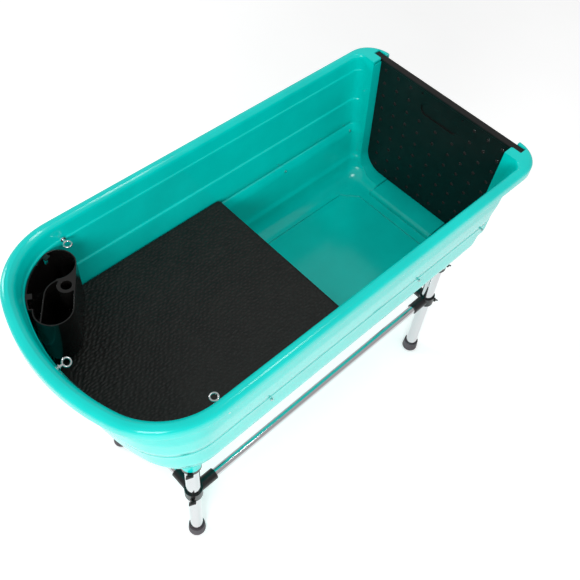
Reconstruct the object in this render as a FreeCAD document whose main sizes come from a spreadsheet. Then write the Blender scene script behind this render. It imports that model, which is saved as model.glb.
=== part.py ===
"""Pet bathtub on a four-legged chrome frame, with a lift-out gate, platform and bottle caddy.

Frame: millimetres, +Z up, origin on the ground under the middle of the tub, +X towards the gate
end, +Y towards the rear side. Every leg screws down separately, so the frame can be levelled.
"""
import FreeCAD, Part
import math
import os

import Sketcher

V = FreeCAD.Vector
X_AXIS, Y_AXIS, Z_AXIS = V(1, 0, 0), V(0, 1, 0), V(0, 0, 1)
doc = FreeCAD.newDocument("PetBathtub")

# ---------------------------------------------------------------- driving dimensions
SIZES = {
    # plan and rim of the tub
    "tub_length": 1248.0, "tub_width": 600.0, "rim_height": 905.0, "rim_drop": 32.0,
    "rim_skirt_wall": 4.5, "rim_top_wall": 6.0, "wall": 5.0,
    "round_end_depth": 210.0, "round_end_corner": 190.0, "square_corner": 75.0,
    "end_wall_x": 556.0, "inner_corner": 25.0, "floor_corner": 40.0,
    # floor
    "floor_height": 500.0, "floor_half_width": 180.0, "floor_radius": 46.0, "floor_end_x": 510.0,
    "recess_depth": 3.0, "recess_half_width": 174.0, "recess_end_x": 483.0,
    "recess_start_x": -455.0, "recess_chamfer": 42.0,
    # sill in front of the gate
    "sill_half_width": 115.0, "sill_groove": 3.0, "sill_height": 516.0, "sill_radius": 15.0,
    "sill_start_x": 511.0,
    # gate and its slot
    "slot_x": 588.0, "slot_width": 10.0, "housing_start_x": 516.0,
    "housing_end_x": 611.0, "opening_top": 222.0,
    "opening_low": 209.0, "opening_shoulder": 585.0, "opening_bottom": 516.0,
    "opening_corner": 62.0, "slot_depth": 10.0, "housing_margin": 19.0, "gate_play": 0.35,
    "gate_top": 893.0, "flange_height": 9.0, "flange_start_x": 586.5, "flange_end_x": 607.0,
    "flange_half_length": 250.0, "flange_play": 0.4, "tab_end": 225.0,
    "gate_hole": 5.0, "gate_hole_pitch": 41.75, "gate_hole_top": 875.0, "gate_hole_rows": 9,
    "gate_screw_hole": 2.4, "gate_screw_span": 69.0, "gate_screw_height": 882.0,
    "grip_half_length": 65.0, "grip_half_height": 20.0, "grip_height": 841.0, "grip_depth": 3.0,
    # legs
    "leg_front_x": -418.0, "leg_rear_x": 503.0, "leg_half_spacing": 179.0,
    "boss_radius": 26.5, "boss_bottom": 458.0, "socket_depth": 32.0, "socket_play": 0.05,
    "upper_radius": 19.0, "upper_bore": 17.55, "upper_bottom": 280.0,
    "lower_radius": 17.5, "lower_bore": 16.0, "lower_length": 370.0, "lower_bottom": 5.0,
    "foot_radius": 24.25, "foot_height": 35.0, "foot_round": 5.0,
    "ring_radius": 25.5, "ring_height": 16.0, "ring_gap": 0.4, "ear_length": 11.0,
    "ear_width": 12.0, "ear_thick": 8.0, "ear_height": 5.0,
    # frame connectors and rails
    "rail_height": 282.0, "rail_radius": 12.5, "rail_bore": 11.3, "rail_start": 22.0,
    "hub_height": 34.0, "hub_radius": 24.0, "arm_radius": 16.0, "arm_length": 68.0,
    "lock_drop": -9.0,
    # thumb screws
    "screw_radius": 3.0, "screw_play": 0.05, "screw_head_radius": 6.5, "screw_head": 5.0,
    "wing_length": 24.0, "wing_thick": 3.0, "wing_height": 10.0,
    "screw_gap": 0.3, "screw_hole": 40.0, "socket_screw_reach": 7.2, "lock_screw_reach": 7.5,
    # lift-out platform
    "plate_top": 697.0, "plate_thick": 5.0, "plate_rest": 669.5, "plate_end_x": 33.0,
    "plate_side_gap": 0.35, "plate_corner": 8.0, "plate_skirt": 4.0, "plate_rib": 3.0,
    "plate_ribs": 4, "rib_gap": 6.0,
    # bottle caddy
    "caddy_top": 856.0, "caddy_height": 130.0, "caddy_wall": 2.6, "caddy_rear_cup": 41.5,
    "caddy_front_cup": 42.5, "caddy_divider": 40.0, "divider_turn": 141.5, "divider_span": 100.0,
    "caddy_island": 20.0, "caddy_wall_gap": 1.5, "caddy_spread": 60.0, "caddy_floor": 3.0,
    "caddy_holder": 12.0, "caddy_drain": 8.0, "holder_floor": 60.0,
    "notch_play": 0.6, "notch_height": 50.0,
    "hook_width": 14.0, "hook_thick": 3.0, "hook_gap": 0.8, "hook_length": 14.0,
    "lug_height": 8.0, "lug_reach": 4.0, "lug_gap": 0.3,
    # eyebolts and wall screws
    "eye_height": 860.0, "eye_x": -397.0, "eye_ring": 11.0, "eye_wire": 2.2, "eye_reach": 20.0,
    "eye_shank": 3.0, "eye_hole": 3.2, "nut_radius": 6.0, "nut_height": 5.0,
    "washer_radius": 7.5, "washer_height": 1.6, "eye_front": 1.8, "eye_back": 2.0,
    "pan_height": 657.0, "pan_radius": 4.0, "pan_thick": 2.2, "pan_shank": 2.0,
    "pan_front": 1.5, "pan_back": 2.5,
    # drain in the floor under the platform
    "drain_x": -270.0, "drain_bore": 18.0, "drain_wall": 3.5, "drain_spigot": 20.5,
    "drain_flange": 34.0, "drain_flange_thick": 3.0, "drain_length": 62.0,
    "drain_nut": 31.0, "drain_nut_height": 9.0, "gasket_thick": 2.0, "strainer_hole": 2.2,
}

sheet = doc.addObject("Spreadsheet::Sheet", "Sizes")
for row, (alias, value) in enumerate(SIZES.items(), start=1):
    sheet.set(f"A{row}", alias)
    sheet.set(f"B{row}", str(value))
    sheet.setAlias(f"B{row}", alias)
doc.recompute()

subparts = []


def size(alias):
    """The value of a named cell."""
    return float(getattr(sheet, alias))


def finish(thing, label, place=None):
    """Names a sub-part, places it and puts it on the list of pieces."""
    thing.Label = label
    if place is not None:
        thing.Placement = place
    subparts.append(thing)
    return thing


def at(base, direction=Z_AXIS):
    """A placement at a point whose own +Z lies along a direction."""
    return FreeCAD.Placement(base, FreeCAD.Rotation(Z_AXIS, direction))


# ---------------------------------------------------------------- builders
def bind(thing, **expressions):
    """Ties properties to cells of the sheet: words that name cells become references."""
    for name, expression in expressions.items():
        for alias in sorted(SIZES, key=len, reverse=True):
            expression = expression.replace(f"[{alias}]", f"Sizes.{alias}")
        thing.setExpression(name, expression)
    return thing


def cylinder(name, radius, height, place):
    rod = bind(doc.addObject("Part::Cylinder", name), Radius=radius, Height=height)
    rod.Placement = place
    return rod


def block(name, length, width, height, place):
    box = bind(doc.addObject("Part::Box", name), Length=length, Width=width, Height=height)
    box.Placement = place
    return box


def fuse(name, pieces):
    joined = doc.addObject("Part::MultiFuse", name)
    joined.Shapes = pieces
    return joined


def cut(name, base, tool):
    result = doc.addObject("Part::Cut", name)
    result.Base, result.Tool = base, tool
    return result


def origin_plane(body, role):
    return next(item for item in body.Origin.OriginFeatures if item.Role == role)


def new_sketch(body, name, role):
    sketch = body.newObject("Sketcher::SketchObject", name)
    sketch.AttachmentSupport = (origin_plane(body, role), [""])
    sketch.MapMode = "FlatFace"
    return sketch


def tube(label, outer, inner, length, place):
    """A round tube padded from two circles on the body's ground plane."""
    body = doc.addObject("PartDesign::Body", label + "_body")
    sketch = new_sketch(body, label + "_section", "XY_Plane")
    for index, radius in enumerate((outer, inner)):
        sketch.addGeometry(Part.Circle(V(0, 0, 0), Z_AXIS, size(radius)))
        sketch.addConstraint(Sketcher.Constraint("Coincident", index, 3, -1, 1))
        circle = sketch.addConstraint(Sketcher.Constraint("Radius", index, size(radius)))
        sketch.setExpression(f"Constraints[{circle}]", f"Sizes.{radius}")
    pad = body.newObject("PartDesign::Pad", label + "_pad")
    pad.Profile = sketch
    bind(pad, Length=length)
    body.Tip = pad
    return finish(body, label, place)


# ---------------------------------------------------------------- plan outlines of the tub
HALF_LENGTH = size("tub_length") / 2
HALF_WIDTH = size("tub_width") / 2
CORNER_X = -HALF_LENGTH + size("round_end_depth")
CORNER_Y = HALF_WIDTH - size("round_end_corner")
# the end arc is tangent to both corner arcs, which fixes its radius
END_RADIUS = ((size("round_end_depth") ** 2 + CORNER_Y ** 2 - size("round_end_corner") ** 2)
              / (2 * (size("round_end_depth") - size("round_end_corner"))))
END_X = -HALF_LENGTH + END_RADIUS
END_ANGLE = math.atan2(CORNER_Y, END_X - CORNER_X)


def arc(centre, radius, start, end):
    """The arc edge round a centre from one angle to another, through the middle angle."""
    points = [centre + V(radius * math.cos(turn), radius * math.sin(turn), 0)
              for turn in (start, (start + end) / 2, end)]
    return Part.Arc(*points).toShape()


# how far the rounded end leans in, beyond the even inset of the sides, from the floor up
END_LEAN = [(0, 27), (546, 27), (600, 20), (700, 10), (872, 9), (894, 4), (901, 1), (904, 0), (910, 0)]


def between(table, place):
    """Straight-line value of a two-column table at a place."""
    for (low, low_value), (high, high_value) in zip(table, table[1:]):
        if low <= place <= high:
            return low_value + (place - low) / (high - low) * (high_value - low_value)
    raise ValueError(f"{place} is outside the table")


def tub_outline(half_width, right_x, corner, height, lean=None):
    """Closed plan outline: a rounded left end, straight sides and a square right end.

    The left end's arcs keep their centres from outline to outline, apart from the end's lean.
    """
    inset = HALF_WIDTH - half_width
    small, large = size("round_end_corner") - inset, END_RADIUS - inset
    lean = between(END_LEAN, height) if lean is None else lean
    corner_x, end_x = CORNER_X + lean, END_X + lean
    straight_x, side_y = right_x - corner, half_width - corner
    quarter = math.pi / 2
    edges = [
        Part.LineSegment(V(corner_x, -half_width, height), V(straight_x, -half_width, height)).toShape(),
        arc(V(straight_x, -side_y, height), corner, -quarter, 0),
        Part.LineSegment(V(right_x, -side_y, height), V(right_x, side_y, height)).toShape(),
        arc(V(straight_x, side_y, height), corner, 0, quarter),
        Part.LineSegment(V(straight_x, half_width, height), V(corner_x, half_width, height)).toShape(),
        arc(V(corner_x, CORNER_Y, height), small, quarter, math.pi - END_ANGLE),
        arc(V(end_x, 0, height), large, math.pi - END_ANGLE, math.pi + END_ANGLE),
        arc(V(corner_x, -CORNER_Y, height), small, math.pi + END_ANGLE, 3 * quarter),
    ]
    return Part.Wire(edges)


def tub_loft(levels, lean=None):
    """Solid through outlines given as (height, half width, right end, right corner radius)."""
    return Part.makeLoft([tub_outline(half, right, corner, height, lean)
                          for height, half, right, corner in levels], True, True)


def floor_levels(offset, steps=6):
    """Outlines of the rounded edge between floor and wall, offset outwards for the outside."""
    radius = size("floor_radius") + offset
    centre_height = size("floor_height") + size("floor_radius")
    levels = []
    for step in range(steps + 1):
        turn = math.pi / 2 * (1 - step / steps)
        reach = radius * math.cos(turn)
        levels.append((centre_height - radius * math.sin(turn), size("floor_half_width") + reach,
                       size("floor_end_x") + reach, size("floor_corner") + offset))
    return levels


END_WALL = size("end_wall_x")
INNER_CORNER = size("inner_corner")
# inner wall from the floor up: each pair of close heights is one moulded step
INNER_WALL = [(558, 227), (566, 234), (578, 236), (648, 242.5), (656, 244.5), (676, 254),
              (758, 260.5), (766, 264.5), (857, 267), (862, 269.5), (894, 273), (901, 276),
              (904, 280), (906, 284)]
OUTER_WALL = [(566, 240), (578, 243), (655, 251), (760, 267), (860, 274),
              (872, 275.7), (902, 280)]


def gate_outline(margin, top):
    """Polygon-with-arcs outline of the gate opening in the YZ plane, widened by a margin."""
    shoulder = size("opening_shoulder")
    half_top = size("opening_top") + margin
    half_low = size("opening_low") + margin
    bottom = size("opening_bottom") - margin
    corner = size("opening_corner") + margin
    slope = (half_top - half_low) / (900 - shoulder)
    top_y = half_low + slope * (top - shoulder)
    centre_z = bottom + corner
    side_y = half_low - slope * (shoulder - centre_z)
    centre_y = side_y - corner
    diagonal = corner * math.sqrt(0.5)
    return Part.Wire([
        Part.LineSegment(V(0, -top_y, top), V(0, -side_y, centre_z)).toShape(),
        Part.Arc(V(0, -side_y, centre_z), V(0, -centre_y - diagonal, centre_z - diagonal),
                 V(0, -centre_y, bottom)).toShape(),
        Part.LineSegment(V(0, -centre_y, bottom), V(0, centre_y, bottom)).toShape(),
        Part.Arc(V(0, centre_y, bottom), V(0, centre_y + diagonal, centre_z - diagonal),
                 V(0, side_y, centre_z)).toShape(),
        Part.LineSegment(V(0, side_y, centre_z), V(0, top_y, top)).toShape(),
        Part.LineSegment(V(0, top_y, top), V(0, -top_y, top)).toShape(),
    ])


def gate_slab(margin, top, start_x, end_x):
    """The outline of the gate made a slab between two X positions."""
    slab = Part.Face(gate_outline(margin, top)).extrude(V(end_x - start_x, 0, 0))
    slab.translate(V(start_x, 0, 0))
    return slab


LEGS = {"front_left": (size("leg_front_x"), -size("leg_half_spacing")),
        "front_right": (size("leg_rear_x"), -size("leg_half_spacing")),
        "rear_left": (size("leg_front_x"), size("leg_half_spacing")),
        "rear_right": (size("leg_rear_x"), size("leg_half_spacing"))}


def wall_inset(height):
    """Inset of the inner wall from the rim's outer edge at a height."""
    return HALF_WIDTH - between(INNER_WALL, height)


EYE_WALL = HALF_WIDTH - wall_inset(size("eye_height"))
# each eye: the point where its shank meets the inner wall, and the way into the tub
EYES = {"rear": (V(size("eye_x"), EYE_WALL, size("eye_height")), V(0, -1, 0)),
        "front": (V(size("eye_x"), -EYE_WALL, size("eye_height")), V(0, 1, 0)),
        "end": (V(-HALF_LENGTH + wall_inset(size("eye_height")) + between(END_LEAN, size("eye_height")),
                  0, size("eye_height")), V(1, 0, 0))}
# how far each ring is turned about its shank, in degrees
EYE_TURNS = {"rear": 0, "front": 0, "end": -57}
PAN_WALL = HALF_WIDTH - wall_inset(size("pan_height"))
PAN_SCREWS = [V(x, side * PAN_WALL, size("pan_height")) for side in (-1, 1) for x in (-239, 268, 529)]
# hooks of the caddy stand on two lugs of the rounded wall, at these angles round its rear corner
HOOK_ANGLES = [math.radians(angle) for angle in (108, 150)]


# ---------------------------------------------------------------- tub shell
def make_tub_shell():
    rim, drop = size("rim_height"), size("rim_drop")
    corner, wall = size("square_corner"), size("wall")
    lip = rim - drop
    cap = tub_loft([(lip, HALF_WIDTH, HALF_LENGTH, corner),
                    (rim - 12, HALF_WIDTH, HALF_LENGTH, corner),
                    (rim - 6, HALF_WIDTH - 2, HALF_LENGTH - 2, corner - 2),
                    (rim - 2, HALF_WIDTH - 6, HALF_LENGTH - 6, corner - 6),
                    (rim, HALF_WIDTH - 12, HALF_LENGTH - 12, corner - 12)], 0)
    skirt = size("rim_skirt_wall")
    under = tub_loft([(lip - 1, HALF_WIDTH - skirt, HALF_LENGTH - skirt, corner - skirt),
                      (rim - 14, HALF_WIDTH - skirt, HALF_LENGTH - skirt, corner - skirt),
                      (rim - size("rim_top_wall"), HALF_WIDTH - 12, HALF_LENGTH - 12, corner - 12)], 0)
    body = tub_loft(floor_levels(wall) + [(z, half, END_WALL + wall, INNER_CORNER + wall)
                                          for z, half in OUTER_WALL])
    play = size("flange_play")
    seat = size("gate_top") - play
    housing = gate_slab(size("housing_margin"), seat, size("housing_start_x"), size("housing_end_x"))
    bosses = [Part.makeCylinder(size("boss_radius"), 75, V(x, y, size("boss_bottom")))
              for x, y in LEGS.values()]
    shell = cap.cut(under).fuse([body, housing] + bosses)

    cavity = tub_loft(floor_levels(0) + [(z, half, END_WALL, INNER_CORNER)
                                         for z, half in INNER_WALL])
    recess = floor_recess()
    half_sill = size("sill_half_width") + size("sill_groove")
    channel_start = size("sill_start_x") - 10
    channel = Part.makeBox(size("slot_x") - channel_start, 2 * half_sill, 120,
                           V(channel_start, -half_sill, size("floor_height")))
    shell = shell.cut([cavity, recess, channel])
    shell = shell.fuse(make_sill())

    opening = gate_slab(0, rim + 5, END_WALL - 12, HALF_LENGTH + 5)
    slot = gate_slab(size("slot_depth"), rim + 5, size("slot_x"), size("slot_x") + size("slot_width"))
    between_tabs = Part.makeBox(60, 2 * size("tab_end"), 60,
                                V(size("housing_end_x"), -size("tab_end"), lip - 10))
    half_flange = size("flange_half_length") + play
    flange_seat = Part.makeBox(size("flange_end_x") - size("flange_start_x") + 2 * play,
                               2 * half_flange, 30, V(size("flange_start_x") - play, -half_flange, seat))
    over_housing = Part.makeBox(40, 2 * size("tab_end"), 30, V(size("slot_x") - 4, -size("tab_end"), seat))
    shell = shell.cut([opening, slot, between_tabs, flange_seat, over_housing] + tub_holes())
    shell = shell.fuse(caddy_lugs()).removeSplitter()
    feature = doc.addObject("Part::Feature", "TubShell")
    feature.Shape = shell
    return finish(feature, "tub_shell")


def floor_recess():
    """Shallow standing area of the floor, with its corners cut off."""
    start, end = size("recess_start_x"), size("recess_end_x")
    half, cut_off = size("recess_half_width"), size("recess_chamfer")
    level = size("floor_height") - size("recess_depth")
    ring = [V(start + cut_off, -half, level), V(end - cut_off, -half, level),
            V(end, -half + cut_off, level), V(end, half - cut_off, level),
            V(end - cut_off, half, level), V(start + cut_off, half, level),
            V(start, half - cut_off, level), V(start, -half + cut_off, level)]
    return Part.Face(Part.makePolygon(ring + ring[:1])).extrude(V(0, 0, size("recess_depth") + 1))


def make_sill():
    """Rounded step from the floor up to the gate, clear of the corners by a groove each side."""
    top, radius, base = size("sill_height"), size("sill_radius"), size("floor_height") - 2
    start, end, half = size("sill_start_x"), size("slot_x") + 2, size("sill_half_width")
    diagonal = radius * (1 - math.sqrt(0.5))
    profile = Part.Wire([
        Part.LineSegment(V(end, -half, base), V(start, -half, base)).toShape(),
        Part.LineSegment(V(start, -half, base), V(start, -half, top - radius)).toShape(),
        Part.Arc(V(start, -half, top - radius), V(start + diagonal, -half, top - diagonal),
                 V(start + radius, -half, top)).toShape(),
        Part.LineSegment(V(start + radius, -half, top), V(end, -half, top)).toShape(),
        Part.LineSegment(V(end, -half, top), V(end, -half, base)).toShape()])
    return Part.Face(profile).extrude(V(0, 2 * half, 0))


def tub_holes():
    """Leg sockets, the drain hole and the holes of the eyebolts and wall screws."""
    holes = [Part.makeCylinder(size("upper_radius") + size("socket_play"), size("socket_depth") + 1,
                               V(x, y, size("boss_bottom") - 1)) for x, y in LEGS.values()]
    drain = size("drain_bore") + size("drain_wall")
    holes.append(Part.makeCylinder(drain + 0.5, 40, V(size("drain_x"), 0, size("floor_height") - 20)))
    reach = 40
    for point, inward in EYES.values():
        holes.append(Part.makeCylinder(size("eye_hole"), reach, point - inward * reach / 2, inward))
    for point in PAN_SCREWS:
        holes.append(Part.makeCylinder(size("pan_shank") + 0.2, reach, point - Y_AXIS * reach / 2, Y_AXIS))
    return holes


def hook_place(turn, height, reach):
    """Point on the rounded rear corner of the inner wall, moved into the tub by a reach."""
    radius = size("round_end_corner") - wall_inset(height) - reach
    return V(CORNER_X + between(END_LEAN, height) + radius * math.cos(turn),
             CORNER_Y + radius * math.sin(turn), height)


def wall_block(turn, height, reach, width, depth, tall):
    """Upright block whose length points along the wall's normal at an angle of the corner."""
    piece = Part.makeBox(depth, width, tall, V(0, -width / 2, 0))
    piece.rotate(V(0, 0, 0), Z_AXIS, math.degrees(turn) + 180)
    piece.translate(hook_place(turn, height, reach))
    return piece


def caddy_lugs():
    """Two lugs moulded on the wall that carry the hooks of the caddy."""
    height = size("caddy_top") - size("hook_thick") - size("lug_gap")
    return [wall_block(turn, height - size("lug_height"), -3, size("hook_width") - 4,
                       size("lug_reach") + 3, size("lug_height")) for turn in HOOK_ANGLES]


# ---------------------------------------------------------------- gate
def make_gate():
    """Perforated panel with a top flange, made to drop into the slot of the tub."""
    play = size("gate_play")
    panel = gate_slab(size("slot_depth") - play, size("gate_top") + 1, size("slot_x") + play,
                      size("slot_x") + size("slot_width") - play)
    flange = Part.makeBox(size("flange_end_x") - size("flange_start_x"),
                          2 * size("flange_half_length"), size("flange_height"),
                          V(size("flange_start_x"), -size("flange_half_length"), size("gate_top")))
    flange = flange.makeFillet(2.0, flange.Edges)
    start = size("slot_x") - 5
    tools = []
    for y, z in gate_hole_places():
        tools.append(Part.makeCylinder(size("gate_hole"), 25, V(start, y, z), X_AXIS))
    for y in (-size("gate_screw_span"), size("gate_screw_span")):
        tools.append(Part.makeCylinder(size("gate_screw_hole"), 25,
                                       V(start, y, size("gate_screw_height")), X_AXIS))
    panel = panel.cut(tools)
    panel = panel.cut(grip_recess()).fuse(flange).removeSplitter()
    feature = doc.addObject("Part::Feature", "GatePanel")
    feature.Shape = panel
    return finish(feature, "gate_panel")


def gate_hole_places():
    """Nine rows of holes whose columns draw together towards the narrow bottom of the gate."""
    top_columns, low_columns = (0, 64, 110, 155.5, 201), (0, 43, 86.5, 129.5, 172)
    rows = int(size("gate_hole_rows"))
    places = []
    for row in range(rows):
        z = size("gate_hole_top") - row * size("gate_hole_pitch")
        share = row / (rows - 1)
        for number, (top_y, low_y) in enumerate(zip(top_columns, low_columns)):
            if row < 2 and number < 2:
                continue
            y = top_y + share * (low_y - top_y)
            places += [(y, z)] if number == 0 else [(-y, z), (y, z)]
    return places


def grip_recess():
    """Long shallow hollow with round ends, where fingers push the gate."""
    half, radius, z = size("grip_half_length"), size("grip_half_height"), size("grip_height")
    start = size("slot_x") - 1
    depth = size("grip_depth") + size("gate_play") + 1
    flat = half - radius
    middle = Part.makeBox(depth, 2 * flat, 2 * radius, V(start, -flat, z - radius))
    ends = [Part.makeCylinder(radius, depth, V(start, y, z), X_AXIS) for y in (-flat, flat)]
    return middle.fuse(ends)


# ---------------------------------------------------------------- platform
def plate_edge(inset, height):
    """Closed outline of the platform at an inset from the inner wall at its own height."""
    half_width = HALF_WIDTH - wall_inset(size("plate_rest")) - size("plate_side_gap") - inset
    return tub_outline(half_width, size("plate_end_x") - inset, size("plate_corner") - min(inset, 5),
                       height, between(END_LEAN, size("plate_rest")))


def make_platform():
    """Raised standing platform: a top plate with a skirt and ribs that stand on the wall's ledge."""
    top, rest, thick = size("plate_top"), size("plate_rest"), size("plate_thick")
    skirt = size("plate_skirt")
    slab = Part.Face(plate_edge(0, rest)).extrude(V(0, 0, top - rest))
    hollow = Part.Face(plate_edge(skirt, rest)).extrude(V(0, 0, top - rest - thick))
    plate = slab.cut(hollow)
    # the ledge carries only the skirt's foot, so the ribs end above it
    gap = size("rib_gap")
    rib_height = top - thick - rest - gap
    count = int(size("plate_ribs"))
    length = size("plate_end_x") + HALF_LENGTH
    ribs = []
    for number in range(count):
        y = (number + 1) / (count + 1) * size("tub_width") - HALF_WIDTH
        ribs.append(Part.makeBox(length, size("plate_rib"), rib_height,
                                 V(-HALF_LENGTH, y - size("plate_rib") / 2, rest + gap)))
        x = size("plate_end_x") - (number + 1) / (count + 1) * length
        ribs.append(Part.makeBox(size("plate_rib"), size("tub_width"), rib_height,
                                 V(x - size("plate_rib") / 2, -HALF_WIDTH, rest + gap)))
    lattice = ribs[0].multiFuse(ribs[1:]).common(slab)
    feature = doc.addObject("Part::Feature", "PlatformPlate")
    feature.Shape = plate.fuse(lattice).removeSplitter()
    return finish(feature, "platform_plate")


# ---------------------------------------------------------------- caddy
REAR_CUP, FRONT_CUP = V(-444.5, 219.5, 0), V(-512.5, 126.5, 0)
HOLDER, DIVIDER = V(-459.5, 160, 0), V(-475.5, 142.5, 0)
CADDY_DRAINS = [REAR_CUP, V(-500, 212, 0), V(-500, 128, 0)]
# block between the cups that the small holder is sunk into
ISLAND_CORNERS = [V(-470, 185, 0), V(-445, 140, 0), V(-425, 150, 0), V(-400, 205, 0)]
CADDY_LOW = size("caddy_top") - size("caddy_height")


def caddy_column(points, low, tall):
    """Upright prism over plan points."""
    ring = [point + V(0, 0, low) for point in points]
    return Part.Face(Part.makePolygon(ring + ring[:1])).extrude(V(0, 0, tall))


def caddy_plan(margin):
    """Outer body: two round cups joined by webs on both sides, cut to the wall's own curve."""
    tall = size("caddy_height")
    rear, front = size("caddy_rear_cup") + margin, size("caddy_front_cup") + margin
    cups = [Part.makeCylinder(rear, tall, REAR_CUP + V(0, 0, CADDY_LOW)),
            Part.makeCylinder(front, tall, FRONT_CUP + V(0, 0, CADDY_LOW))]
    towards = (FRONT_CUP - REAR_CUP).normalize()
    side = V(-towards.y, towards.x, 0)
    end = FRONT_CUP + towards * margin
    spread = size("caddy_spread")
    web = caddy_column([REAR_CUP + side * rear, REAR_CUP - side * (rear + spread),
                        end - side * (front + spread), end + side * front], CADDY_LOW, tall)
    spare = size("caddy_wall_gap") - margin
    wall = tub_loft([(z, HALF_WIDTH - wall_inset(z) - spare, 0, 5)
                     for z in (CADDY_LOW, CADDY_LOW + tall)])
    return cups[0].fuse([cups[1], web]).common(wall)


def caddy_divider():
    """Curved wall between the cups: an arc round the front cup that ends in a straight run."""
    radius, wall, tall = size("caddy_divider"), size("caddy_wall"), size("caddy_height")
    base = DIVIDER + V(0, 0, CADDY_LOW)
    ring = Part.makeCylinder(radius + wall, tall, base).cut(Part.makeCylinder(radius, tall, base))
    turn, span = math.radians(size("divider_turn")), size("divider_span")
    out = V(math.cos(turn), math.sin(turn), 0)
    along = V(-out.y, out.x, 0)
    sector = caddy_column([DIVIDER, DIVIDER + V(span, 0, 0), DIVIDER + V(span, span, 0),
                           DIVIDER + V(out.x * span, span, 0), DIVIDER + out * span], CADDY_LOW, tall)
    near, far = DIVIDER + out * radius, DIVIDER + out * (radius + wall)
    run = caddy_column([near, near + along * span, far + along * span, far], CADDY_LOW, tall)
    return ring.common(sector).fuse(run)


def make_caddy():
    """Bottle caddy: two cups with a curved divider, a small holder and hooks for the wall's lugs."""
    wall, floor, tall = size("caddy_wall"), size("caddy_floor"), size("caddy_height")
    outside, inside = caddy_plan(0), caddy_plan(-wall)
    inside.translate(V(0, 0, floor))
    holder_low = HOLDER + V(0, 0, CADDY_LOW + size("holder_floor"))
    holder_tall = tall - size("holder_floor")
    rear_inner = Part.makeCylinder(size("caddy_rear_cup") - wall, tall, REAR_CUP + V(0, 0, CADDY_LOW))
    island = caddy_column(ISLAND_CORNERS, holder_low.z, holder_tall)
    island = island.fuse(Part.makeCylinder(size("caddy_island"), holder_tall, holder_low))
    island = island.common(outside).cut(rear_inner)
    bore = Part.makeCylinder(size("caddy_holder"), tall, holder_low + V(0, 0, wall))
    body = outside.cut(inside).fuse([caddy_divider().common(outside).cut(rear_inner), island]).cut(bore)
    drains = [Part.makeCylinder(size("caddy_drain"), 20, point + V(0, 0, CADDY_LOW - 5))
              for point in CADDY_DRAINS]
    drains.append(Part.makeCylinder(size("caddy_drain") / 2, 20, holder_low - V(0, 0, 8)))
    # notches behind the caddy let it rise past the lugs
    lug_width = size("hook_width") - 4
    notches = [wall_block(turn, size("caddy_top") - size("notch_height"), -3,
                          lug_width + 2 * size("notch_play"),
                          size("lug_reach") + 3 + size("notch_play"),
                          size("notch_height") - size("hook_thick")) for turn in HOOK_ANGLES]
    body = body.cut(drains + notches)
    hooks = [wall_block(turn, size("caddy_top") - size("hook_thick"), size("hook_gap"),
                        size("hook_width"), size("hook_length"), size("hook_thick"))
             for turn in HOOK_ANGLES]
    feature = doc.addObject("Part::Feature", "BottleCaddy")
    feature.Shape = body.fuse(hooks).removeSplitter()
    return finish(feature, "bottle_caddy")


# ---------------------------------------------------------------- legs and frame
def outward(x, y):
    """Direction in plan from the tub's middle towards a leg's outer corner."""
    return V(math.copysign(1, x), math.copysign(1, y), 0).normalize()


def thumb_screw(label, centre, direction, reach, start):
    """Wing screw: shank, round head and two wings, turned on its own axis."""
    name = label.replace("_", "")
    head_start = start + size(reach)
    shank = cylinder(name + "Shank", "[screw_radius]", f"[{reach}]", at(V(0, 0, start)))
    head = cylinder(name + "Head", "[screw_head_radius]", "[screw_head]", at(V(0, 0, head_start)))
    wings = block(name + "Wings", "[wing_length]", "[wing_thick]", "[wing_height]",
                  FreeCAD.Placement(V(-size("wing_length") / 2, -size("wing_thick") / 2,
                                      head_start + 1), FreeCAD.Rotation()))
    return finish(fuse(name + "Screw", [shank, head, wings]), label, at(centre, direction))


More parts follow.
